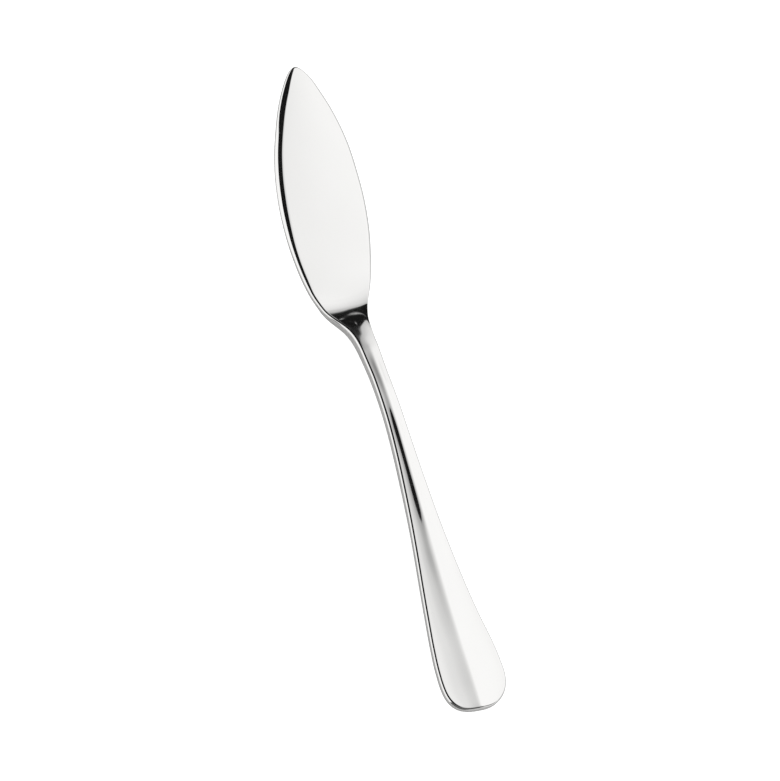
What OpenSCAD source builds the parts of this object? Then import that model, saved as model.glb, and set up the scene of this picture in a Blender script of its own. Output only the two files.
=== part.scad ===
// Fish knife forged in one piece: a flat leaf-shaped blade, a narrow neck and a flat
// handle that arches off the table and widens to a rounded end.
// Y runs from the handle's end to the tip, X is across with the belly of the blade on
// the minus side, and Z = 0 is the table that the blade and the handle's end lie on.

/* [Length] */
// Length from the end of the handle to the tip of the blade
total_length = 205.4; // [185:0.2:225]
// Length of the blade from its shoulder line to the tip
blade_length = 75.5; // [68:0.5:84]
// Length of the shoulder, from the shoulder line to the narrowest place of the neck
shoulder_length = 24; // [20:1:28]
// Length of the rounded end of the handle
end_length = 11.2; // [8:0.2:13]

/* [Width] */
// Greatest width of the blade
blade_width = 28.2; // [24:0.2:32]
// Width of the blade at its shoulder line
shoulder_width = 15.5; // [12.5:0.1:18]
// Width of the neck at its narrowest place
neck_width = 5.7; // [4.7:0.1:7]
// Greatest width of the handle, near its end
handle_width = 21.8; // [18:0.2:25]
// Distance of the tip from the ridge's line, toward the back of the blade
tip_offset = 6.9; // [5:0.1:9]
// Distance of the shoulder's middle from the ridge's line, toward the belly
shoulder_offset = 1.92; // [1:0.02:3]
// Distance of the handle's middle from the ridge's line at its end, toward the back
handle_offset = 0.55; // [0:0.05:1]

/* [Thickness] */
// Thickness of the blade
blade_thickness = 1.8; // [1.5:0.1:2.4]
// Thickness of the neck where it is thickest, behind the ramp up from the blade
neck_thickness = 3; // [2.5:0.1:4]
// Thickness of the handle near its end
handle_thickness = 1.9; // [1.6:0.1:2.6]
// Height of the ridge that runs along the top of the handle
ridge_height = 0.85; // [0.4:0.05:1.2]
// Rise of the shoulder's face from its edges to its middle
face_crown = 0.4; // [0:0.05:0.6]
// Rise of the shoulder's face beside its edge on the back's side
back_rise = 0.17; // [0:0.01:0.25]
// Height to which the underside of the handle arches off the table
arch_height = 4.4; // [3:0.1:6]

/* [Edges] */
// Width of the bevel along the belly's top edge
bevel_width = 2; // [1.2:0.1:2.6]
// Depth of the bevel along the belly's top edge
bevel_depth = 1.4; // [0.8:0.05:1.4]
// Depth of that bevel near the tip, where more of it is flat
tip_bevel_depth = 1.1; // [0.7:0.05:1.4]
// Width of the rounding along the other top edges
edge_round = 0.9; // [0.5:0.05:1.1]
// Radius of the lower edges
under_round = 0.35; // [0.2:0.05:0.5]
// Distance over which the ridge's crest is rounded
crest_round = 0.8; // [0.4:0.1:1.4]

/* [Hidden] */

handle_length = total_length - blade_length;
// Depth to which the underside runs below the table before it is cut flat
overrun = 0.4;
// Lift of the underside at which that cut has ended
cut_lift = 0.15;
// Least distance over which the ridge falls off on either side
least_fall = 3;

// Stations along each stretch, and columns across the top
end_steps = 14;
handle_steps = 36;
shoulder_steps = 28;
blade_steps = 30;
tip_steps = 14;
columns = 14;

// Powers of the rounded end's outline: 2 is an ellipse and more is squarer
belly_end_power = 3;
back_end_power = 2.2;
// Power at which the rise beside the back's edge grows toward it
back_power = 7;
// Share of the blade's length at which the closer stations of the tip begin
tip_start_share = 0.9;

// Each table below has a place along its stretch, and a share of the size that it names.
// Half width of the blade against an ellipse, from the shoulder line to the tip
blade_fullness_shares = [[0, 0], [0.08, 0.41], [0.2, 0.798], [0.32, 1.07], [0.47, 1.272],
    [0.64, 1.357], [0.8, 1.213], [0.9, 1.001], [0.95, 0.839], [1, 0.467]];
// Lean of the blade's middle, from the shoulder's to the tip's
lean_shares = [[0, 0], [0.13, 0.122], [0.26, 0.256], [0.4, 0.394], [0.54, 0.531],
    [0.66, 0.671], [0.78, 0.805], [0.88, 0.899], [0.95, 0.979], [1, 1]];
// Width of the shoulder above the neck's, from the shoulder line to the neck
shoulder_shares = [[0, 1], [0.042, 0.907], [0.083, 0.804], [0.125, 0.699], [0.167, 0.587],
    [0.208, 0.476], [0.25, 0.379], [0.333, 0.235], [0.417, 0.145], [0.5, 0.1],
    [0.625, 0.067], [0.75, 0.043], [0.875, 0.02], [1, 0]];
// Offset of the shoulder's middle, from the shoulder line to the neck
offset_shares = [[0, 1], [0.042, 1.009], [0.083, 0.985], [0.125, 0.926], [0.167, 0.832],
    [0.208, 0.708], [0.25, 0.568], [0.333, 0.311], [0.417, 0.176], [0.5, 0.083],
    [0.625, 0.012], [1, 0]];
// Width of the handle above the neck's, from the neck to the rounded end
flare_shares = [[0, 0], [0.063, 0.009], [0.116, 0.019], [0.169, 0.033], [0.275, 0.087],
    [0.38, 0.168], [0.486, 0.269], [0.591, 0.401], [0.697, 0.557], [0.803, 0.728],
    [0.908, 0.915], [0.961, 0.978], [1, 1]];
// Offset of the handle's middle, from the neck to the handle's end
drift_shares = [[0, 0], [0.038, 0.02], [0.085, 0.1], [0.133, 0.19], [0.2, 0.23],
    [0.43, 0.22], [0.53, 0.3], [0.645, 0.46], [0.72, 0.61], [0.777, 0.83], [0.815, 0.98],
    [1, 1]];
// Lift of the underside, from the shoulder line to the handle's end
lift_shares = [[0, 0], [0.031, 0.007], [0.046, 0.057], [0.069, 0.218], [0.1, 0.436],
    [0.139, 0.645], [0.177, 0.803], [0.223, 0.949], [0.262, 0.997], [0.3, 0.975],
    [0.37, 0.876], [0.446, 0.729], [0.539, 0.55], [0.608, 0.395], [0.677, 0.218],
    [0.731, 0.108], [0.793, 0.038], [0.885, 0.004], [1, 0]];
// Ramp from the blade's thickness to the neck's, which starts ahead of the shoulder line
ramp_shares = [[-0.5, 0], [-0.208, 0.03], [-0.083, 0.122], [0, 0.284], [0.083, 0.545],
    [0.167, 0.835], [0.229, 0.97], [0.292, 1.02], [0.333, 1]];
// Thickness of the neck above the handle's, from the ramp's end to the handle's end
taper_shares = [[0.062, 1], [0.085, 0.943], [0.108, 0.877], [0.139, 0.695], [0.169, 0.62],
    [0.208, 0.548], [0.262, 0.46], [0.308, 0.434], [0.37, 0.389], [0.431, 0.32],
    [0.493, 0.181], [0.554, 0.045], [0.616, -0.019], [0.693, -0.023], [0.77, -0.004],
    [0.847, 0.027], [1, 0.059]];
// Height of the ridge, from the shoulder line to the handle's end
ridge_shares = [[0, 0], [0.075, 0], [0.1, 0.04], [0.124, 0.34], [0.154, 0.6],
    [0.193, 0.7], [0.242, 0.625], [0.28, 0.71], [0.319, 0.78], [0.412, 0.79],
    [0.473, 0.87], [0.562, 0.975], [0.618, 1.135], [0.695, 0.995], [0.772, 0.985],
    [0.849, 0.87], [0.934, 0.93], [1, 0.7]];
// Crown of the face, from the neck to the tip: it dips where the ramp runs out
crown_shares = [[0, 0.09], [0.06, 0.37], [0.101, 0.6], [0.141, 0.94], [0.171, 0.98],
    [0.191, 0.59], [0.211, -0.12], [0.231, -0.45], [0.251, -0.53], [0.291, -0.13],
    [0.342, 0.37], [0.442, 0.3], [0.643, 0.65], [0.844, 0.55], [1, 0]];
// Rise beside the back's edge, from the shoulder line to halfway to the neck
back_rise_shares = [[-0.02, 0], [0.042, 0.18], [0.125, 0.65], [0.208, 1], [0.292, 1],
    [0.5, 0]];
// Bevel against the rounding on the belly's side, from the shoulder line to the tip
belly_bevel_shares = [[-0.026, 0], [0.066, 0.07], [0.132, 0.3], [0.225, 0.43],
    [0.291, 0.6], [0.358, 0.8], [0.411, 0.92], [0.503, 1], [0.989, 1], [1, 0.4]];
// Bevel against the rounding on the back's side, near the tip
back_bevel_shares = [[0.984, 0], [1, 0.4]];
// Width of the rounding on the back's side, from the blade to the handle's end
back_round_shares = [[-0.115, 1], [-0.031, 0.55], [0, 0.25], [0.062, 0.25], [0.1, 0.55],
    [0.939, 0.55], [0.985, 0.8], [1, 1]];
// Width of every top edge as it nears the tip
tip_edge_shares = [[0.62, 1], [0.75, 0.95], [0.85, 0.94], [0.9, 0.91], [0.96, 0.68],
    [1, 0.36]];
// The tip's own profile against the bevel's
tip_profile_part_shares = [[0.6, 0], [0.8, 0.45], [0.93, 1]];

// Points of each edge from the wall inward: the shares of its width and of its depth
bevel_profile_shares = [[0, 1], [0.062, 0.772], [0.42, 0.281], [0.961, 0.009], [1, 0]];
tip_profile_shares = [[0, 1], [0.028, 0.858], [0.203, 0.534], [0.965, 0.011], [1, 0]];
round_profile_shares = [[0, 1], [0.084, 0.623], [0.313, 0.309], [0.628, 0.089], [1, 0]];
under_profile_shares = [for (angle = [90 : -45 : 0]) [1 - cos(angle), 1 - sin(angle)]];

// A smooth curve through a table's points, which never swings past them
function rise(table, i) =
    (table[i + 1][1] - table[i][1]) / (table[i + 1][0] - table[i][0]);
function slope(table, i) =
    i == 0 ? rise(table, 0)
    : i == len(table) - 1 ? rise(table, i - 1)
    : rise(table, i - 1) * rise(table, i) <= 0 ? 0
    : 2 * rise(table, i - 1) * rise(table, i) / (rise(table, i - 1) + rise(table, i));
function span(table, place, i = 0) =
    i >= len(table) - 2 || place < table[i + 1][0] ? i : span(table, place, i + 1);
function eased(a, b, slope_a, slope_b, u) =
    a * (2 * u ^ 3 - 3 * u ^ 2 + 1) + slope_a * (u ^ 3 - 2 * u ^ 2 + u)
    + b * (3 * u ^ 2 - 2 * u ^ 3) + slope_b * (u ^ 3 - u ^ 2);
function curve(table, place) =
    let (at = min(max(place, table[0][0]), table[len(table) - 1][0]),
        i = span(table, at),
        step = table[i + 1][0] - table[i][0])
    eased(table[i][1], table[i + 1][1], slope(table, i) * step,
        slope(table, i + 1) * step, (at - table[i][0]) / step);
function mix(a, b, share) = a + (b - a) * share;

// Places along the knife, measured from the shoulder line toward the tip
neck_y = -shoulder_length;
ramp_y = neck_y * ramp_shares[len(ramp_shares) - 1][0];
end_y = -handle_length;
round_y = end_y + end_length;
end_places = [for (i = [0 : end_steps - 1])
    let (angle = 90 - 90 * i / end_steps)
    round_y - end_length * sin(angle) ^ (2 / belly_end_power)];
handle_places = [for (i = [0 : handle_steps - 1]) mix(round_y, neck_y, i / handle_steps)];
shoulder_places = [for (i = [0 : shoulder_steps - 1]) neck_y * (1 - i / shoulder_steps)];
blade_places = [for (i = [0 : blade_steps - 1])
    blade_length * tip_start_share * i / blade_steps];
tip_places = [for (i = [0 : tip_steps])
    blade_length * (1 - (1 - tip_start_share) * (1 - i / tip_steps) ^ 2)];
places = concat(end_places, handle_places, shoulder_places, blade_places, tip_places);
last = len(places) - 1;

// Half the width, and the middle, at a place
function along_handle(y) = -y / handle_length;
function along_shoulder(y) = -y / shoulder_length;
function blade_half(y) =
    let (v = y / blade_length)
    (shoulder_width + (blade_width - shoulder_width) * curve(blade_fullness_shares, v))
    / 2 * sqrt(max(1 - v ^ 2, 0));
function shoulder_half(y) =
    mix(neck_width, shoulder_width, curve(shoulder_shares, along_shoulder(y))) / 2;
function handle_half(y) =
    mix(neck_width, handle_width,
        curve(flare_shares, (neck_y - y) / (neck_y - round_y))) / 2;
function end_side(y, power) =
    handle_width / 2
    * max(1 - (max(round_y - y, 0) / end_length) ^ power, 0) ^ (1 / power);
function half_width(y) =
    y <= round_y ? (end_side(y, belly_end_power) + end_side(y, back_end_power)) / 2
    : y < neck_y ? handle_half(y)
    : y < 0 ? shoulder_half(y)
    : blade_half(y);
function handle_middle(y) =
    handle_offset * curve(drift_shares, (neck_y - y) / (neck_y - end_y))
    + (end_side(y, back_end_power) - end_side(y, belly_end_power)) / 2;
function middle(y) =
    y < neck_y ? handle_middle(y)
    : y < 0 ? -shoulder_offset * curve(offset_shares, along_shoulder(y))
    : mix(-shoulder_offset, tip_offset, curve(lean_shares, y / blade_length));

// Heights at a place: the underside, the edge of the top, and the shapes that rise on it
function lift(y) = arch_height * curve(lift_shares, along_handle(y));
function underside(y) =
    lift(y) < cut_lift ? mix(-overrun, cut_lift, lift(y) / cut_lift) : lift(y);
function thickness(y) =
    y > ramp_y ? mix(blade_thickness, neck_thickness, curve(ramp_shares, along_shoulder(y)))
    : mix(handle_thickness, neck_thickness, curve(taper_shares, along_handle(y)));
function ridge(x, y) =
    let (away = sqrt(x ^ 2 + crest_round ^ 2),
        belly_fall = max(half_width(y) - middle(y), least_fall),
        back_fall = max(half_width(y) + middle(y), least_fall),
        fall = mix(belly_fall, back_fall, (1 + x / away) / 2))
    ridge_height * curve(ridge_shares, along_handle(y)) * (1 - min(away / fall, 1)) ^ 2;
function crown(x, y) =
    let (across = min(max((x - middle(y)) / max(half_width(y), under_round), -1), 1))
    y < neck_y ? 0
    : face_crown * curve(crown_shares, (y - neck_y) / (blade_length - neck_y))
    * (1 - across ^ 2)
    + back_rise * curve(back_rise_shares, along_shoulder(y)) * max(across, 0) ^ back_power;
function top(x, y) = lift(y) + thickness(y) + ridge(x, y) + crown(x, y);

// The outline as one loop: up the back from the handle's end, and down the belly
loop = 2 * last;
function station(k) = k <= last ? k : loop - k;
function side(k) = k <= last ? 1 : -1;
outline = [for (k = [0 : loop - 1])
    let (y = places[station(k)]) [middle(y) + side(k) * half_width(y), y]];
function inward(k) =
    let (way = outline[(k + 1) % loop] - outline[(k + loop - 1) % loop])
    [-way[1], way[0]] / norm(way);

// Each ring is the outline drawn in by an edge's own shares: a bevel along the belly, and
// a rounding elsewhere
deepest_bevel = blade_thickness - under_round;
function bevel_part(k, v) =
    side(k) > 0 ? curve(back_bevel_shares, v) : curve(belly_bevel_shares, v);
function round_width(k, y) =
    edge_round * (side(k) > 0 ? curve(back_round_shares, along_handle(y)) : 1);
function bevel_point(depth, shares) =
    [bevel_width * shares[0], min(depth, deepest_bevel) * shares[1]];
function top_edge(k, j) =
    let (y = outline[k][1],
        v = y / blade_length,
        rounded = round_width(k, y) * round_profile_shares[j],
        bevelled = mix(bevel_point(bevel_depth, bevel_profile_shares[j]),
            bevel_point(tip_bevel_depth, tip_profile_shares[j]),
            curve(tip_profile_part_shares, v)))
    mix(rounded, bevelled, bevel_part(k, v)) * curve(tip_edge_shares, v);
function under_ring(j) = [for (k = [0 : loop - 1])
    let (edge = under_round * under_profile_shares[j], p = outline[k] + inward(k) * edge[0])
    [p[0], p[1], max(underside(p[1]), j > 0 ? 0 : -overrun) + edge[1]]];
function top_ring(j) = [for (k = [0 : loop - 1])
    let (edge = top_edge(k, j), p = outline[k] + inward(k) * edge[0])
    [p[0], p[1], top(p[0], p[1]) - edge[1]]];
rings = concat([for (j = [0 : len(under_profile_shares) - 1]) under_ring(j)],
    [for (j = [0 : len(bevel_profile_shares) - 1]) top_ring(j)]);
inner = rings[len(rings) - 1];
inside = [for (i = [1 : last - 1], c = [1 : columns - 1])
    let (p = mix(inner[i], inner[loop - i], c / columns))
    [p[0], p[1], top(p[0], p[1])]];
points = concat([for (ring = rings, p = ring) p], inside);

// Faces between two rings, and across the top and the underside
inner_start = (len(rings) - 1) * loop;
inside_start = len(rings) * loop;
function column_point(i, c) =
    c == 0 || i == 0 || i == last ? inner_start + i
    : c == columns ? inner_start + loop - i
    : inside_start + (i - 1) * (columns - 1) + c - 1;
function split(a, b, c, d) = [[a, b, c], [a, c, d]];
ring_faces = [for (j = [0 : len(rings) - 2], k = [0 : loop - 1])
    let (next = (k + 1) % loop)
    each split(j * loop + k, (j + 1) * loop + k, (j + 1) * loop + next, j * loop + next)];
top_faces = [for (i = [0 : last - 1], c = [0 : columns - 1])
    each i == 0 ? [[column_point(0, c), column_point(1, c + 1), column_point(1, c)]]
    : i == last - 1 ? [[column_point(i, c), column_point(i, c + 1), column_point(last, c)]]
    : split(column_point(i, c), column_point(i, c + 1),
        column_point(i + 1, c + 1), column_point(i + 1, c))];
under_faces = [for (i = [0 : last - 1])
    each i == 0 ? [[0, 1, loop - 1]]
    : i == last - 1 ? [[i, last, loop - i]]
    : split(i, i + 1, loop - i - 1, loop - i)];

// The knife's box, whose middle is set over the origin
box_min_x = min([for (p = outline) p[0]]);
box_max_x = max([for (p = outline) p[0]]);
box_middle = [(box_min_x + box_max_x) / 2, (end_y + blade_length) / 2];
room = total_length;

module knife() {
    color("silver")
    translate([-box_middle[0], -box_middle[1], 0])
    intersection() {
        polyhedron(points, concat(ring_faces, top_faces, under_faces));
        translate([-room, -room, 0])
        cube([2 * room, 2 * room, room]);
    }
}

knife();
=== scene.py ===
import math

import bpy
import numpy as np
from mathutils import Matrix, Vector


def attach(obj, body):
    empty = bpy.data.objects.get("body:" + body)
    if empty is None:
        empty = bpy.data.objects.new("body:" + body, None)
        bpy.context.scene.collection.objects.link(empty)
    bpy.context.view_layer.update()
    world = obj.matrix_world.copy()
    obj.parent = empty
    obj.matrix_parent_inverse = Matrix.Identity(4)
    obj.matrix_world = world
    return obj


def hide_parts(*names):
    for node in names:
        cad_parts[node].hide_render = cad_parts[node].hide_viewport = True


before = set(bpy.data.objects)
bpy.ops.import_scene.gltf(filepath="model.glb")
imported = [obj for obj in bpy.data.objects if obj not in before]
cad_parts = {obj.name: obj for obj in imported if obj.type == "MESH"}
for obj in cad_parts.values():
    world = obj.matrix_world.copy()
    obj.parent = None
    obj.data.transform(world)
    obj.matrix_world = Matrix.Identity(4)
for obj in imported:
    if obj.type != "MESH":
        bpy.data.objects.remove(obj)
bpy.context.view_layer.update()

MM = 0.001

# Sizes of the knife in millimetres
# Places along it count from the shoulder, where the blade starts: the tip is at
# BLADE_LENGTH and the handle runs the other way. Places across it count from the line of
# the handle's ridge, with the back of the blade on the positive side and its belly on the
# other.
TOTAL_LENGTH = 205.4
BLADE_LENGTH = 75.5
SHOULDER_LENGTH = 24.0
END_LENGTH = 11.2
BLADE_WIDTH = 28.2
SHOULDER_WIDTH = 15.5
NECK_WIDTH = 5.7
HANDLE_WIDTH = 21.8
TIP_OFFSET = 6.9
SHOULDER_OFFSET = 1.92
HANDLE_OFFSET = 0.55
BLADE_THICKNESS = 1.8
ARCH_HEIGHT = 4.4
RIDGE_HEIGHT = 0.85
BEVEL_WIDTH = 2.0
BEVEL_DEPTH = 1.4
TIP_BEVEL_DEPTH = 1.1
EDGE_ROUND = 0.9
UNDER_ROUND = 0.35
HANDLE_LENGTH = TOTAL_LENGTH - BLADE_LENGTH
NECK_Y = -SHOULDER_LENGTH
END_Y = -HANDLE_LENGTH
ROUND_Y = END_Y + END_LENGTH

# The ridge falls off over at least this distance on either side
LEAST_FALL = 3.0

# Powers of the curves: the handle's rounded end on the belly side and on the back, and how
# the ridge, the belly's fall and the back's rise grow across the face
END_POWERS = (3.0, 2.2)
RIDGE_POWER = 2
BELLY_POWER = 2
BACK_POWER = 7

# Shares of the sizes above, each with its place along its own stretch
BLADE_FULLNESS_SHARES = [(0, 0), (0.08, 0.41), (0.2, 0.798), (0.32, 1.07), (0.47, 1.272),
                         (0.64, 1.357), (0.8, 1.213), (0.9, 1.001), (0.95, 0.839), (1, 0.467)]
LEAN_SHARES = [(0, 0), (0.13, 0.122), (0.26, 0.256), (0.4, 0.394), (0.54, 0.531),
               (0.66, 0.671), (0.78, 0.805), (0.88, 0.899), (0.95, 0.979), (1, 1)]
SHOULDER_SHARES = [(0, 1), (0.042, 0.907), (0.083, 0.804), (0.125, 0.699), (0.167, 0.587),
                   (0.208, 0.476), (0.25, 0.379), (0.333, 0.235), (0.417, 0.145),
                   (0.5, 0.1), (0.625, 0.067), (0.75, 0.043), (0.875, 0.02), (1, 0)]
OFFSET_SHARES = [(0, 1), (0.042, 1.009), (0.083, 0.985), (0.125, 0.926), (0.167, 0.832),
                 (0.208, 0.708), (0.25, 0.568), (0.333, 0.311), (0.417, 0.176), (0.5, 0.083),
                 (0.625, 0.012), (1, 0)]
FLARE_SHARES = [(0, 0), (0.063, 0.009), (0.116, 0.019), (0.169, 0.033), (0.275, 0.087),
                (0.38, 0.168), (0.486, 0.269), (0.591, 0.401), (0.697, 0.557),
                (0.803, 0.728), (0.908, 0.915), (0.961, 0.978), (1, 1)]
DRIFT_SHARES = [(0, 0), (0.038, 0.02), (0.085, 0.1), (0.133, 0.19), (0.2, 0.23), (0.43, 0.22),
                (0.53, 0.3), (0.645, 0.46), (0.72, 0.61), (0.777, 0.83), (0.815, 0.98), (1, 1)]
LIFT_SHARES = [(0, 0), (0.035, 0), (0.046, 0.045), (0.058, 0.134), (0.07, 0.223),
               (0.085, 0.334), (0.1, 0.439), (0.124, 0.575), (0.147, 0.684), (0.17, 0.777),
               (0.201, 0.886), (0.232, 0.97), (0.262, 1), (0.286, 0.99), (0.309, 0.965),
               (0.348, 0.914), (0.386, 0.845), (0.425, 0.77), (0.463, 0.698),
               (0.502, 0.625), (0.54, 0.548), (0.579, 0.466), (0.618, 0.37), (0.656, 0.27),
               (0.695, 0.177), (0.726, 0.116), (0.757, 0.073), (0.788, 0.041),
               (0.819, 0.022), (0.849, 0.01), (0.93, 0), (1, 0)]
RIDGE_SHARES = [(0, 0), (0.075, 0), (0.1, 0.04), (0.124, 0.34), (0.154, 0.6), (0.193, 0.7),
                (0.242, 0.625), (0.28, 0.71), (0.319, 0.78), (0.358, 0.77), (0.412, 0.79),
                (0.473, 0.87), (0.535, 0.93), (0.562, 0.975), (0.581, 1.055), (0.618, 1.135),
                (0.695, 0.995), (0.772, 0.985), (0.849, 0.87), (0.934, 0.93), (1, 0.7)]

# Height of the face's middle over its edges, at places in mm
CROWN_HEIGHTS = [(-24, 0.03), (-18, 0.15), (-14, 0.237), (-11, 0.363), (-9, 0.387),
                 (-7, 0.411), (-5, 0.258), (-4, 0.075), (-3, -0.071), (-2, -0.136),
                 (-1, -0.187), (1, -0.221), (4, -0.103), (10, 0.152), (20, 0.12), (40, 0.26),
                 (60, 0.22), (72, 0.05), (75.5, 0)]

# Extra fall of the face toward the belly's edge, at places in mm
BELLY_FALLS = [(-16, 0), (-13, 0.09), (-11, 0.051), (-9, -0.04), (-7, -0.061), (-5, -0.074),
               (-3, -0.077), (-1, 0.034), (1, 0.064), (4, 0.107), (8, 0)]

# Extra rise of the face toward the back's edge, at places in mm
BACK_RISES = [(-12, 0), (-7, 0.17), (-5, 0.17), (-3, 0.11), (-1, 0.03), (0.5, 0)]

# Softness of the ridge's crest in mm, at places in mm
CREST_SOFTNESS = [(-130, 0.7), (-90, 1), (-78, 1.35), (-70, 0.8), (-64, 0.65), (-20, 0.75)]

# Slope of the top along the knife in degrees, rising away from the tip, at places in mm
TOP_SLOPES = [(-121, 0), (-114, -0.1), (-106, -0.75), (-98, -2.2), (-91, -4.1), (-84, -5.1),
              (-76, -4.95), (-68, -4.95), (-60, -4.8), (-52, -4.3), (-46, -3.5),
              (-41, -2.75), (-37, -1.6), (-30, 2.6), (-25, 5.9), (-20, 7.2), (-16, 6.52),
              (-14, 9.54), (-12, 11.76), (-11, 12.1), (-10, 12.65), (-9, 13.01), (-8, 13.31),
              (-7, 13.12), (-5, 11.99), (-3.5, 10.31), (-2.2, 10.35), (-1.5, 9.32),
              (-1, 11.84), (-0.5, 7.02), (0, 6.7), (1, 5.57), (3, 2.56), (5, 0.61),
              (9, 0.25), (12, 0)]

# Share of the ground bevel against the round edge, at places in mm
# The bevel runs along the belly. On the back it fades out within a short way of the tip.
BEVEL_SHARES = [(-2, 0), (5, 0.07), (10, 0.3), (17, 0.43), (22, 0.6), (27, 0.8), (31, 0.92),
                (38, 1), (74.7, 1), (75.5, 0.4)]
BACK_BEVEL_SHARES = [(74.3, 0), (75.5, 0.4)]

# Share of the edge's rounding along the back, at places in mm
BACK_ROUND_SHARES =[(-130, 1), (-128, 0.8), (-122, 0.55), (-13, 0.55), (-8, 0.25), (0, 0.25),
                     (4, 0.55), (15, 1)]

# Share of each edge's width that is left toward the tip, and share of the tip's own
# profile, in which the bevel's flat part takes up more, both at shares of the blade's length
TIP_EASE_SHARES = [(0.62, 1), (0.75, 0.95), (0.85, 0.94), (0.9, 0.91), (0.96, 0.68), (1, 0.36)]
TIP_PROFILE_SHARES = [(0.6, 0), (0.8, 0.45), (0.93, 1)]

# Tilt of each edge in degrees, at shares of the way from the face to the wall
BEVEL_TILTS = [(0, 0), (0.03, 19), (0.44, 21), (0.49, 42), (0.86, 50), (1, 90)]
TIP_TILTS = [(0, 0), (0.03, 19), (0.7, 21), (0.75, 42), (0.93, 50), (1, 90)]
ROUND_TILTS = [(0, 0), (0.1, 12), (0.4, 36), (0.5, 47), (0.75, 60), (0.88, 80), (1, 90)]
UNDER_TILTS = [(0, 0), (1, 90)]

# Radius of each softening and the length it leaves alone at the knife's ends, in mm
HALF_EASE = (0.5, 4.0)
MIDDLE_EASE = (0.8, 3.0)
LIFT_EASE = (1.2, 1.0)
SLOPE_EASE = (0.4, 1.0)
FACE_EASE = (0.8, 1.0)
BACK_EASE = (0.5, 1.0)
CREST_EASE = (2.0, 1.0)

# The softening's bell is cut off at this many radii
BELL_REACH = 3

# Fineness of the mesh
PROFILE_SAMPLES = 200
TOP_STEPS = 24
UNDER_STEPS = 7
END_STATIONS = 90
HANDLE_STATIONS = 190
SHOULDER_STATIONS = 120
BLADE_STATIONS = 150
TIP_STATIONS = 60
COLUMNS = 56

# The columns crowd toward the face's edges by this power
COLUMN_POWER = 1.35

# The shoulder's stations reach this far onto the blade in mm
# The others are shares of the blade's length: the one that the tip's stations take, and
# the one up to which the outline is softened.
SHOULDER_REACH = 6
TIP_SHARE = 0.06
SOFTENED_SHARE = 0.9

# Fine grid along the knife, on which its sizes are sampled and softened
GRID_STEP = 0.1
GRID = np.arange(END_Y, BLADE_LENGTH + GRID_STEP / 2, GRID_STEP)

# Noise of the materials: stretch along each axis, scale and detail
CLOUD_NOISE = ((1, 0.6, 1), 70, 3)
SMUDGE_NOISE = ((1, 0.5, 1), 160, 5)
LINE_NOISE = ((1, 0.03, 1), 2600, 3)
GRAIN_NOISE = ((1, 1, 1), 400, 4)
NOISE_RANGE = (0.3, 0.7)

# Steel: its colours, its roughness from smudges and polishing lines, and the lines' bump
STEEL_COLOURS = ((0.782, 0.778, 0.768), (0.796, 0.792, 0.783))
SMUDGE_ROUGHNESS = (0.035, 0.075)
LINE_ROUGHNESS = (-0.008, 0.012)
LINE_STRENGTH = 0.05
LINE_DEPTH = 0.00001

# Floor: its half width in metres, colours, roughness, gloss and glow
FLOOR_REACH = 3.0
FLOOR_COLOURS = ((0.57, 0.57, 0.57), (0.6, 0.6, 0.6))
FLOOR_ROUGHNESS = (0.86, 0.94)
FLOOR_GLOSS = 0.1
FLOOR_GLOW = 0.85

# Light of the studio by direction
# Turn is the angle from overhead toward the back of the blade in degrees, and reach is how
# far the direction points ahead of the tip. A large soft light fills the back's side and
# fades toward overhead and toward the tip.
LIGHT_BY_TURN = [(-180, 1.17), (-50, 1.17), (-30, 0.8), (0, 0.42), (8, 0.508), (12, 0.763),
                 (15, 0.834), (18.5, 0.96), (21, 0.975), (24, 1.07), (28, 1.13), (31, 1.18),
                 (34, 1.2), (40, 1.21), (51, 1.2), (58, 0.72), (96, 0.72), (110, 1.1),
                 (180, 1.25)]
LIGHT_BY_REACH = [(-1, 1), (0.24, 0.99), (0.27, 0.985), (0.3, 0.955), (0.35, 0.945),
                  (0.4, 0.906), (0.44, 0.849), (0.475, 0.794), (0.505, 0.745),
                  (0.53, 0.662), (0.555, 0.576), (1, 0.5)]
BRIGHTEST = 1.4
PLAIN_LIGHT = 1.0

# Reach leans with the direction's x, counted from the x that the blade's face mirrors
REACH_LEAN = 0.3
FACE_X = 0.455

# The fade by reach sets in between these heights, and between these places across
FADE_Z = (0.05, 0.3)
FADE_X = (-0.3, 0.0)

# Dark screens overhead and ahead of the tip
# Each pair of turns, reaches or heights is a soft edge. The foot rises toward the belly.
SCREEN_EDGE_TURN = (6.6, 5.6)
SCREEN_FAR_TURN = (-50, -47)
SCREEN_REACH = (0.575, 0.592)
SCREEN_FOOT = (0.28, 0.32)
SCREEN_FOOT_LEAN = 0.48
SCREEN_LIGHT = 0.009

# A dim screen behind the handle's end, which ends at a bright field toward the back
NEAR_REACH = (-0.42, -0.5)
NEAR_TURN = (60, 74)
NEAR_LIGHT = 0.13
NEAR_BACK_LIGHT = 1.1

# A small gap in the screen ahead of the tip: its middle, how far its light spreads by
# turn and by reach, and how much reach it gains with each degree of turn
GAP_TURN = 36.55
GAP_TURN_SPREAD = 1.6
GAP_REACH = 0.66
GAP_REACH_SPREAD = 0.0066
GAP_LEAN = 0.0122
GAP_LIGHT = 0.8

# The photo's camera: angles in degrees, scale, and distance and clipping in metres
CAMERA_TILT = 31.05
CAMERA_AZIMUTH = 28
CAMERA_ROLL = 17.94
CAMERA_DISTANCE = 0.6
CAMERA_CLIP = (0.01, 10)
PHOTO_HEIGHT = 781
PIXELS_PER_MM = 3.369

# Pixels that place the knife in the frame
# The ridge passes the anchor at a height in mm. The shoulder's line, taken at its own
# height, lies a number of pixels along the knife from it.
PHOTO_MIDDLE = (390, 390.5)
ANCHOR = (368.6, 345)
ANCHOR_HEIGHT = 4.84
SHOULDER_PIXELS = 43
SHOULDER_SIGHT_HEIGHT = 1.0


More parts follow.
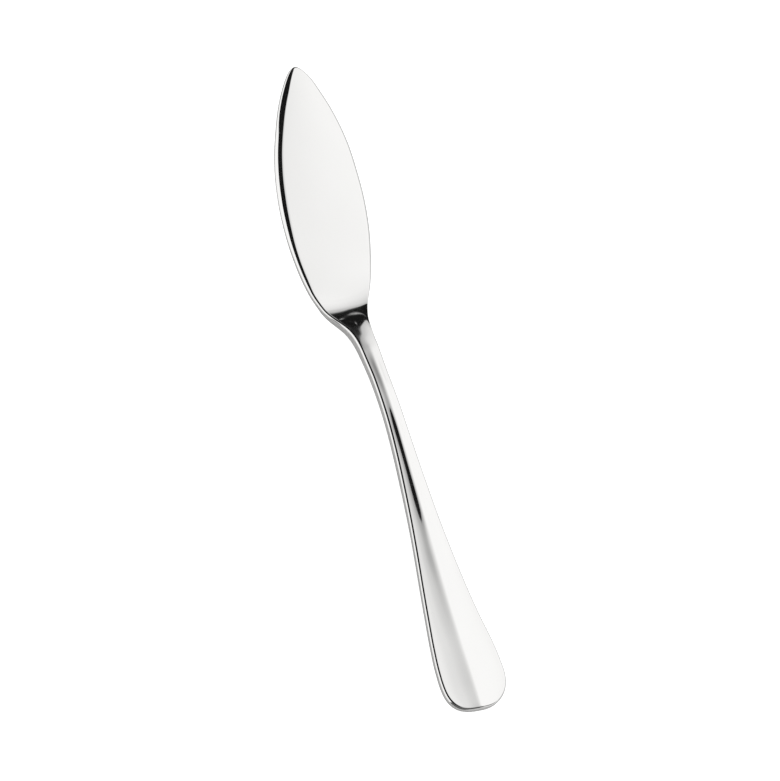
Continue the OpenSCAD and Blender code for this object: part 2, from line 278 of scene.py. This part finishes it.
def curve(table, place):
    """Smooth curve through a table's points, which never swings past them."""
    xs, ys = np.array(table, float).T
    rise = np.diff(ys) / np.diff(xs)
    slope = np.concatenate([rise[:1], np.zeros(len(xs) - 2), rise[-1:]])
    for i in range(1, len(xs) - 1):
        if rise[i - 1] * rise[i] > 0:
            slope[i] = 2 * rise[i - 1] * rise[i] / (rise[i - 1] + rise[i])
    at = np.clip(np.asarray(place, float), xs[0], xs[-1])
    i = np.clip(np.searchsorted(xs, at, side="right") - 1, 0, len(xs) - 2)
    step = xs[i + 1] - xs[i]
    u = (at - xs[i]) / step
    return (ys[i] * (2 * u**3 - 3 * u**2 + 1) + slope[i] * step * (u**3 - 2 * u**2 + u)
            + ys[i + 1] * (3 * u**2 - 2 * u**3) + slope[i + 1] * step * (u**3 - u**2))


def mix(a, b, share):
    """A value part of the way from a to b."""
    return a + (b - a) * share


def smooth(u):
    """0 below 0 and 1 above 1, with a soft start and end."""
    u = np.clip(u, 0, 1)
    return u * u * (3 - 2 * u)


def softened(values, radius, kept):
    """Values on the grid with their corners eased over a radius, but not near the ends."""
    reach = int(BELL_REACH * radius / GRID_STEP)
    weights = np.exp(-0.5 * (np.arange(-reach, reach + 1) * GRID_STEP / radius) ** 2)
    padded = np.pad(values, reach, mode="edge")
    eased = np.convolve(padded, weights / weights.sum(), mode="valid")
    inside = np.minimum(GRID - GRID[0], GRID[-1] - GRID)
    return mix(values, eased, smooth(inside / kept - 1))


def sampled(values, y):
    """Values on the grid, read at any place along the knife."""
    return np.interp(y, GRID, values)


def end_sides(y):
    """Half widths of the handle's rounded end on the belly side and on the back."""
    turn = np.clip((ROUND_Y - y) / END_LENGTH, 0, 1)
    return [HANDLE_WIDTH / 2 * (1 - turn**power) ** (1 / power) for power in END_POWERS]


def half_width_of(y):
    """Half of the knife's width."""
    v = np.clip(y / BLADE_LENGTH, 0, 1)
    blade = (mix(SHOULDER_WIDTH, BLADE_WIDTH, curve(BLADE_FULLNESS_SHARES, v)) / 2
             * np.sqrt(1 - v**2))
    shoulder = mix(NECK_WIDTH, SHOULDER_WIDTH, curve(SHOULDER_SHARES, y / NECK_Y)) / 2
    handle = mix(NECK_WIDTH, HANDLE_WIDTH,
                 curve(FLARE_SHARES, (NECK_Y - y) / (NECK_Y - ROUND_Y))) / 2
    return np.where(y <= ROUND_Y, sum(end_sides(y)) / 2,
                    np.where(y < NECK_Y, handle, np.where(y < 0, shoulder, blade)))


def middle_of(y):
    """Place of the outline's middle across the knife."""
    belly, back = end_sides(y)
    drift = curve(DRIFT_SHARES, (NECK_Y - y) / (NECK_Y - END_Y))
    handle = HANDLE_OFFSET * drift + (back - belly) / 2
    shoulder = -SHOULDER_OFFSET * curve(OFFSET_SHARES, y / NECK_Y)
    blade = mix(-SHOULDER_OFFSET, TIP_OFFSET, curve(LEAN_SHARES, y / BLADE_LENGTH))
    return np.where(y < NECK_Y, handle, np.where(y < 0, shoulder, blade))


# Sampled shapes: the outline is eased a little, and the heights more
ALONG_HANDLE = -GRID / HANDLE_LENGTH
HALF_GRID = softened(half_width_of(GRID), *HALF_EASE)
MIDDLE_GRID = softened(middle_of(GRID), *MIDDLE_EASE)
LIFT_GRID = softened(ARCH_HEIGHT * curve(LIFT_SHARES, ALONG_HANDLE), *LIFT_EASE)
SLOPE_GRID = softened(np.tan(np.radians(curve(TOP_SLOPES, GRID))), *SLOPE_EASE)
TOP_GRID = BLADE_THICKNESS + np.cumsum(SLOPE_GRID[::-1])[::-1] * GRID_STEP
RIDGE_GRID = softened(RIDGE_HEIGHT * curve(RIDGE_SHARES, ALONG_HANDLE), *FACE_EASE)
CROWN_GRID = softened(curve(CROWN_HEIGHTS, GRID), *FACE_EASE)
BELLY_GRID = softened(curve(BELLY_FALLS, GRID), *FACE_EASE)
BACK_GRID = softened(curve(BACK_RISES, GRID), *BACK_EASE)
CREST_GRID = softened(curve(CREST_SOFTNESS, GRID), *CREST_EASE)


def top_height(x, y):
    """Height of the top face over the table, without the rounding of its edges."""
    middle, half = sampled(MIDDLE_GRID, y), sampled(HALF_GRID, y)
    away = np.sqrt(x**2 + sampled(CREST_GRID, y) ** 2)
    belly_fall = np.maximum(half - middle, LEAST_FALL)
    back_fall = np.maximum(half + middle, LEAST_FALL)
    fall = mix(belly_fall, back_fall, 0.5 + 0.5 * x / away)
    ridge = sampled(RIDGE_GRID, y) * (1 - np.clip(away / fall, 0, 1)) ** RIDGE_POWER
    across = np.clip((x - middle) / np.maximum(half, UNDER_ROUND), -1, 1)
    crown = sampled(CROWN_GRID, y) * (1 - across**2)
    belly = sampled(BELLY_GRID, y) * np.minimum(across, 0) ** BELLY_POWER
    back = sampled(BACK_GRID, y) * np.maximum(across, 0) ** BACK_POWER
    return sampled(TOP_GRID, y) + ridge + crown - belly + back


def edge_profile(tilts, steps):
    """Shares of an edge's width and depth, from its wall inward to the flat face.

    The profile is what a line draws that takes the tilts one after another.
    """
    way = (np.arange(PROFILE_SAMPLES) + 0.5) / PROFILE_SAMPLES
    tilt = np.radians(np.interp(way, *np.array(tilts, float).T))
    inset = np.concatenate([[0], np.cumsum(np.cos(tilt))])
    drop = np.concatenate([[0], np.cumsum(np.sin(tilt))])
    at = np.linspace(0, PROFILE_SAMPLES, steps)
    samples = np.arange(PROFILE_SAMPLES + 1)
    picks = [np.interp(at, samples, values / values[-1]) for values in (inset, drop)]
    return np.stack([1 - picks[0][::-1], picks[1][::-1]], axis=1)


def stations():
    """Places along the knife, closer together at the two ends and at the shoulder."""
    turn = np.linspace(np.pi / 2, 0, END_STATIONS, endpoint=False)
    end = ROUND_Y - END_LENGTH * np.sin(turn) ** (2 / max(END_POWERS))
    tip_start = BLADE_LENGTH * (1 - TIP_SHARE)
    handle = np.linspace(ROUND_Y, NECK_Y, HANDLE_STATIONS, endpoint=False)
    shoulder = np.linspace(NECK_Y, SHOULDER_REACH, SHOULDER_STATIONS, endpoint=False)
    blade = np.linspace(SHOULDER_REACH, tip_start, BLADE_STATIONS, endpoint=False)
    tip = BLADE_LENGTH * (1 - TIP_SHARE * np.linspace(1, 0, TIP_STATIONS) ** 2)
    return np.concatenate([end, handle, shoulder, blade, tip])


def outline_points():
    """Points round the outline: up the back to the tip, then down the belly."""
    ys = stations()
    half = half_width_of(ys)
    inner = (ys > ROUND_Y) & (ys < BLADE_LENGTH * SOFTENED_SHARE)
    half[inner] = sampled(HALF_GRID, ys[inner])
    middle = np.where(ys < ROUND_Y, middle_of(ys), sampled(MIDDLE_GRID, ys))
    back = np.stack([middle + half, ys], axis=1)
    belly = np.stack([middle - half, ys], axis=1)
    return np.concatenate([back, belly[-2:0:-1]])


def inward_ways(outline):
    """Level directions of length 1 from the outline's points into the knife."""
    way = np.roll(outline, -1, axis=0) - np.roll(outline, 1, axis=0)
    inward = np.stack([-way[:, 1], way[:, 0]], axis=1)
    return inward / np.linalg.norm(inward, axis=1, keepdims=True)


def under_rings(outline, inward):
    """Rings round the lower edge, from the underside out to the wall."""
    rings = []
    for inset, rise in edge_profile(UNDER_TILTS, UNDER_STEPS)[::-1]:
        place = outline + inward * inset * UNDER_ROUND
        height = sampled(LIFT_GRID, place[:, 1]) + rise * UNDER_ROUND
        rings.append(np.column_stack([place, height]))
    return rings


def top_rings(outline, inward):
    """Rings round the upper edge, from the wall in to the top face."""
    y = outline[:, 1]
    on_back = np.arange(len(outline)) < len(outline) // 2
    bevel = np.where(on_back, curve(BACK_BEVEL_SHARES, y), curve(BEVEL_SHARES, y))
    edge = EDGE_ROUND * np.where(on_back, curve(BACK_ROUND_SHARES, y), 1)
    tip_ease = curve(TIP_EASE_SHARES, y / BLADE_LENGTH)
    at_tip = curve(TIP_PROFILE_SHARES, y / BLADE_LENGTH)
    profiles = [edge_profile(tilts, TOP_STEPS) for tilts in (BEVEL_TILTS, TIP_TILTS, ROUND_TILTS)]
    rings = []
    for bevelled, tip, rounded in zip(*profiles):
        width = BEVEL_WIDTH * mix(bevelled[0], tip[0], at_tip)
        depth = mix(BEVEL_DEPTH * bevelled[1], TIP_BEVEL_DEPTH * tip[1], at_tip)
        inset = mix(edge * rounded[0], width, bevel) * tip_ease
        drop = mix(edge * rounded[1], depth, bevel) * tip_ease
        place = outline + inward * inset[:, None]
        height = top_height(place[:, 0], place[:, 1]) - drop
        rings.append(np.column_stack([place, height]))
    return rings


def top_rows(rim):
    """Rows of points across the top face, from the back's side of its rim to the belly's."""
    count = len(rim)
    share = np.linspace(-1, 1, COLUMNS + 1)[1:-1]
    share = 0.5 + 0.5 * np.sign(share) * np.abs(share) ** COLUMN_POWER
    rows = []
    for i in range(1, count // 2):
        back, belly = rim[i], rim[count - i]
        x = mix(back[0], belly[0], share)
        y = mix(back[1], belly[1], share)
        rows.append(np.column_stack([x, y, top_height(x, y)]))
    return rows


def face_of(*points):
    """A face with each of its points once, so a corner's four points make a triangle."""
    return tuple(dict.fromkeys(points))


def ring_faces(rings, count):
    """Faces between neighbouring rings of as many points each."""
    faces = []
    for ring in range(rings - 1):
        low, high = ring * count, (ring + 1) * count
        for k in range(count):
            after = (k + 1) % count
            faces.append((low + k, low + after, high + after, high + k))
    return faces


def level_faces(rings, count):
    """Faces of the top, column by column, and of the underside, from rim to rim."""
    last = count // 2

    def rim_point(k):
        return (rings - 1) * count + k % count

    def top_point(i, column):
        if column == 0 or i in (0, last):
            return rim_point(i)
        if column == COLUMNS:
            return rim_point(count - i)
        return rings * count + (i - 1) * (COLUMNS - 1) + column - 1

    faces = []
    for i in range(last):
        for column in range(COLUMNS):
            faces.append(face_of(top_point(i, column), top_point(i + 1, column),
                                 top_point(i + 1, column + 1), top_point(i, column + 1)))
        faces.append(face_of(i, (count - i) % count, count - i - 1, i + 1))
    return faces


def knife_mesh():
    """Vertices and faces of the knife, and the middle of its box in plan."""
    outline = outline_points()
    inward = inward_ways(outline)
    rings = under_rings(outline, inward) + top_rings(outline, inward)
    verts = np.concatenate(rings + top_rows(rings[-1]))
    faces = ring_faces(len(rings), len(outline)) + level_faces(len(rings), len(outline))
    box_middle = (outline.min(axis=0) + outline.max(axis=0)) / 2
    verts[:, :2] -= box_middle
    return verts * MM, faces, box_middle


def make_knife():
    """The knife's mesh as an object, and the middle of its box in plan."""
    verts, faces, box_middle = knife_mesh()
    mesh = bpy.data.meshes.new("knife_mesh")
    mesh.from_pydata(verts.tolist(), [], faces)
    mesh.validate()
    mesh.shade_smooth()
    mesh.materials.append(steel())
    piece = bpy.data.objects.new("knife_steel", mesh)
    bpy.context.scene.collection.objects.link(piece)
    return piece, box_middle


class Nodes:
    """Adds nodes to a tree, each returning its output."""

    def __init__(self, tree):
        self.tree = tree

    def new(self, kind):
        return self.tree.nodes.new(kind)

    def link(self, output, socket):
        self.tree.links.new(output, socket)

    def math(self, operation, a, b=0.0, clamp=False):
        node = self.new("ShaderNodeMath")
        node.operation = operation
        node.use_clamp = clamp
        for socket, value in zip(node.inputs, (a, b)):
            if isinstance(value, (int, float)):
                socket.default_value = value
            else:
                self.link(value, socket)
        return node.outputs[0]

    def add(self, a, b):
        return self.math("ADD", a, b)

    def subtract(self, a, b):
        return self.math("SUBTRACT", a, b)

    def multiply(self, a, b):
        return self.math("MULTIPLY", a, b)

    def blend(self, a, b, share):
        """A value part of the way from a to b."""
        return self.add(a, self.multiply(share, self.subtract(b, a)))

    def mapped(self, value, start, end, low, high, kind="LINEAR"):
        """A value from start to end mapped to one from low to high."""
        node = self.new("ShaderNodeMapRange")
        node.interpolation_type = kind
        self.link(value, node.inputs["Value"])
        node.inputs["From Min"].default_value = start
        node.inputs["From Max"].default_value = end
        node.inputs["To Min"].default_value = low
        node.inputs["To Max"].default_value = high
        return node.outputs["Result"]

    def step(self, value, zero, one):
        """0 on the side of zero and 1 on the side of one, with a soft edge between."""
        if zero < one:
            return self.mapped(value, zero, one, 0.0, 1.0, "SMOOTHSTEP")
        return self.mapped(value, one, zero, 1.0, 0.0, "SMOOTHSTEP")

    def ramp(self, value, stops):
        """A colour ramp on a value, from places and colours."""
        node = self.new("ShaderNodeValToRGB")
        elements = node.color_ramp.elements
        while len(elements) < len(stops):
            elements.new(0.5)
        for element, (place, colour) in zip(elements, stops):
            element.position = place
            element.color = (*colour, 1)
        self.link(value, node.inputs["Fac"])
        return node.outputs["Color"]

    def line(self, value, table, top):
        """Straight stretches through a table of places and heights up to top."""
        low, high = table[0][0], table[-1][0]
        share = self.math("DIVIDE", self.subtract(value, low), high - low, True)
        stops = [((place - low) / (high - low), (height / top,) * 3) for place, height in table]
        return self.multiply(self.ramp(share, stops), top)

    def noise(self, stretch, scale, detail):
        """A noise texture on stretched object coordinates."""
        mapping = self.new("ShaderNodeMapping")
        mapping.inputs["Scale"].default_value = stretch
        self.link(self.new("ShaderNodeTexCoord").outputs["Object"], mapping.inputs["Vector"])
        texture = self.new("ShaderNodeTexNoise")
        texture.inputs["Scale"].default_value = scale
        texture.inputs["Detail"].default_value = detail
        self.link(mapping.outputs["Vector"], texture.inputs["Vector"])
        return texture.outputs["Fac"]

    def noise_colours(self, noise, colours):
        """A noise's usual range as a change from one colour to the other."""
        return self.ramp(noise, list(zip(NOISE_RANGE, colours)))

    def noise_range(self, noise, limits):
        """A noise's usual range spread over the limits."""
        return self.mapped(noise, *NOISE_RANGE, *limits)


def new_material(name):
    """A material with its nodes and its shader."""
    material = bpy.data.materials.new(name)
    material.use_nodes = True
    return material, Nodes(material.node_tree), material.node_tree.nodes["Principled BSDF"]


def steel():
    """Mirror-polished steel: faint smudges, and fine polishing lines along the knife."""
    material, nodes, shader = new_material("polished_steel")
    shader.inputs["Metallic"].default_value = 1.0
    colour = nodes.noise_colours(nodes.noise(*CLOUD_NOISE), STEEL_COLOURS)
    nodes.link(colour, shader.inputs["Base Color"])
    lines = nodes.noise(*LINE_NOISE)
    rough = nodes.add(nodes.noise_range(nodes.noise(*SMUDGE_NOISE), SMUDGE_ROUGHNESS),
                      nodes.noise_range(lines, LINE_ROUGHNESS))
    nodes.link(rough, shader.inputs["Roughness"])
    bump = nodes.new("ShaderNodeBump")
    bump.inputs["Strength"].default_value = LINE_STRENGTH
    bump.inputs["Distance"].default_value = LINE_DEPTH
    nodes.link(lines, bump.inputs["Height"])
    nodes.link(bump.outputs["Normal"], shader.inputs["Normal"])
    return material


def floor_material():
    """A pale matt table, bright enough to the camera to read as plain white."""
    material, nodes, shader = new_material("pale_floor")
    grain = nodes.noise(*GRAIN_NOISE)
    nodes.link(nodes.noise_colours(grain, FLOOR_COLOURS), shader.inputs["Base Color"])
    nodes.link(nodes.noise_range(grain, FLOOR_ROUGHNESS), shader.inputs["Roughness"])
    shader.inputs["Specular IOR Level"].default_value = FLOOR_GLOSS
    shader.inputs["Emission Color"].default_value = (1, 1, 1, 1)
    seen = nodes.new("ShaderNodeLightPath").outputs["Is Camera Ray"]
    nodes.link(nodes.multiply(seen, FLOOR_GLOW), shader.inputs["Emission Strength"])
    return material


def make_floor():
    """The table under the knife, which isn't part of it."""
    mesh = bpy.data.meshes.new("floor_mesh")
    corners = [(-FLOOR_REACH, -FLOOR_REACH, 0), (FLOOR_REACH, -FLOOR_REACH, 0),
               (FLOOR_REACH, FLOOR_REACH, 0), (-FLOOR_REACH, FLOOR_REACH, 0)]
    mesh.from_pydata(corners, [], [(0, 1, 2, 3)])
    mesh.materials.append(floor_material())
    floor = bpy.data.objects.new("floor", mesh)
    bpy.context.scene.collection.objects.link(floor)


def soft_light(nodes, x, z, turn, reach):
    """The large soft light, fading ahead of the tip."""
    light = nodes.line(turn, LIGHT_BY_TURN, BRIGHTEST)
    fading = nodes.multiply(nodes.step(z, *FADE_Z), nodes.step(x, *FADE_X))
    fade = nodes.blend(1.0, nodes.line(reach, LIGHT_BY_REACH, 1.0), fading)
    return nodes.multiply(light, fade)


def screens(nodes, x, z, turn, reach):
    """1 where a dark screen stands overhead or ahead of the tip."""
    overhead = nodes.multiply(nodes.step(turn, *SCREEN_EDGE_TURN),
                              nodes.step(turn, *SCREEN_FAR_TURN))
    screen = nodes.math("MAXIMUM", overhead, nodes.step(reach, *SCREEN_REACH))
    to_belly = nodes.math("MAXIMUM", nodes.multiply(x, -1.0), 0.0)
    height = nodes.subtract(z, nodes.multiply(to_belly, SCREEN_FOOT_LEAN))
    return nodes.multiply(screen, nodes.step(height, *SCREEN_FOOT))


def gap_light(nodes, turn, reach):
    """Light through the small gap in the screen ahead of the tip."""
    away = nodes.subtract(turn, GAP_TURN)
    rise = nodes.subtract(reach, nodes.add(GAP_REACH, nodes.multiply(away, GAP_LEAN)))
    squares = [nodes.math("POWER", nodes.math("DIVIDE", value, spread), 2.0)
               for value, spread in ((away, GAP_TURN_SPREAD), (rise, GAP_REACH_SPREAD))]
    bell = nodes.math("EXPONENT", nodes.multiply(nodes.add(*squares), -1.0))
    return nodes.multiply(bell, GAP_LIGHT)


def studio_light(nodes, direction):
    """How bright the studio is toward a direction."""
    split = nodes.new("ShaderNodeSeparateXYZ")
    nodes.link(direction, split.inputs[0])
    x, y, z = split.outputs
    turn = nodes.multiply(nodes.math("ARCTAN2", x, z), math.degrees(1))
    aside = nodes.subtract(nodes.math("MAXIMUM", x, 0.0), FACE_X)
    reach = nodes.subtract(y, nodes.multiply(aside, REACH_LEAN))
    shade = nodes.add(SCREEN_LIGHT, gap_light(nodes, turn, reach))
    light = nodes.blend(soft_light(nodes, x, z, turn, reach), shade,
                        screens(nodes, x, z, turn, reach))
    near = nodes.blend(NEAR_LIGHT, NEAR_BACK_LIGHT, nodes.step(turn, *NEAR_TURN))
    return nodes.blend(light, near, nodes.step(y, *NEAR_REACH))


def make_world():
    """The studio as glossy surfaces see it, and even light for everything else."""
    world = bpy.data.worlds.new("studio")
    bpy.context.scene.world = world
    world.use_nodes = True
    nodes = Nodes(world.node_tree)
    light = studio_light(nodes, nodes.new("ShaderNodeTexCoord").outputs["Generated"])
    glossy = nodes.new("ShaderNodeLightPath").outputs["Is Glossy Ray"]
    background = world.node_tree.nodes["Background"]
    background.inputs["Color"].default_value = (1, 1, 1, 1)
    nodes.link(nodes.blend(PLAIN_LIGHT, light, glossy), background.inputs["Strength"])


def frame_middle(across, along, roll):
    """Where the middle of the photo's frame looks, in mm from the knife's own zero."""
    dx = PHOTO_MIDDLE[0] - ANCHOR[0]
    dy = PHOTO_MIDDLE[1] - ANCHOR[1]
    right = dx * math.cos(roll) - dy * math.sin(roll)
    up = -(dx * math.sin(roll) + dy * math.cos(roll)) - SHOULDER_PIXELS
    return (across * (right / PIXELS_PER_MM + ANCHOR_HEIGHT * across.z)
            + along * (up / PIXELS_PER_MM + SHOULDER_SIGHT_HEIGHT * along.z))


def make_camera(box_middle):
    """The photo's camera, which looks down from the belly's side and the handle's end."""
    tilt = math.radians(CAMERA_TILT)
    azimuth = math.radians(CAMERA_AZIMUTH)
    roll = math.radians(CAMERA_ROLL)
    back = Vector((-math.sin(tilt) * math.cos(azimuth), -math.sin(tilt) * math.sin(azimuth),
                   math.cos(tilt)))
    across = Vector((back.z, 0, -back.x)).normalized()
    along = back.cross(across)
    right = across * math.cos(roll) - along * math.sin(roll)
    up = across * math.sin(roll) + along * math.cos(roll)
    place = frame_middle(across, along, roll) - Vector((box_middle[0], box_middle[1], 0))
    data = bpy.data.cameras.new("camera")
    data.type = "ORTHO"
    data.ortho_scale = PHOTO_HEIGHT / PIXELS_PER_MM * MM
    data.clip_start, data.clip_end = CAMERA_CLIP
    camera = bpy.data.objects.new("camera", data)
    matrix = Matrix((right, up, back)).transposed().to_4x4()
    matrix.translation = place * MM + back * CAMERA_DISTANCE
    camera.matrix_world = matrix
    bpy.context.scene.collection.objects.link(camera)
    bpy.context.scene.camera = camera


knife, box_middle = make_knife()
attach(knife, "root")
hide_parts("knife")
make_floor()
make_world()
make_camera(box_middle)
bpy.context.scene.view_settings.view_transform = "Standard"
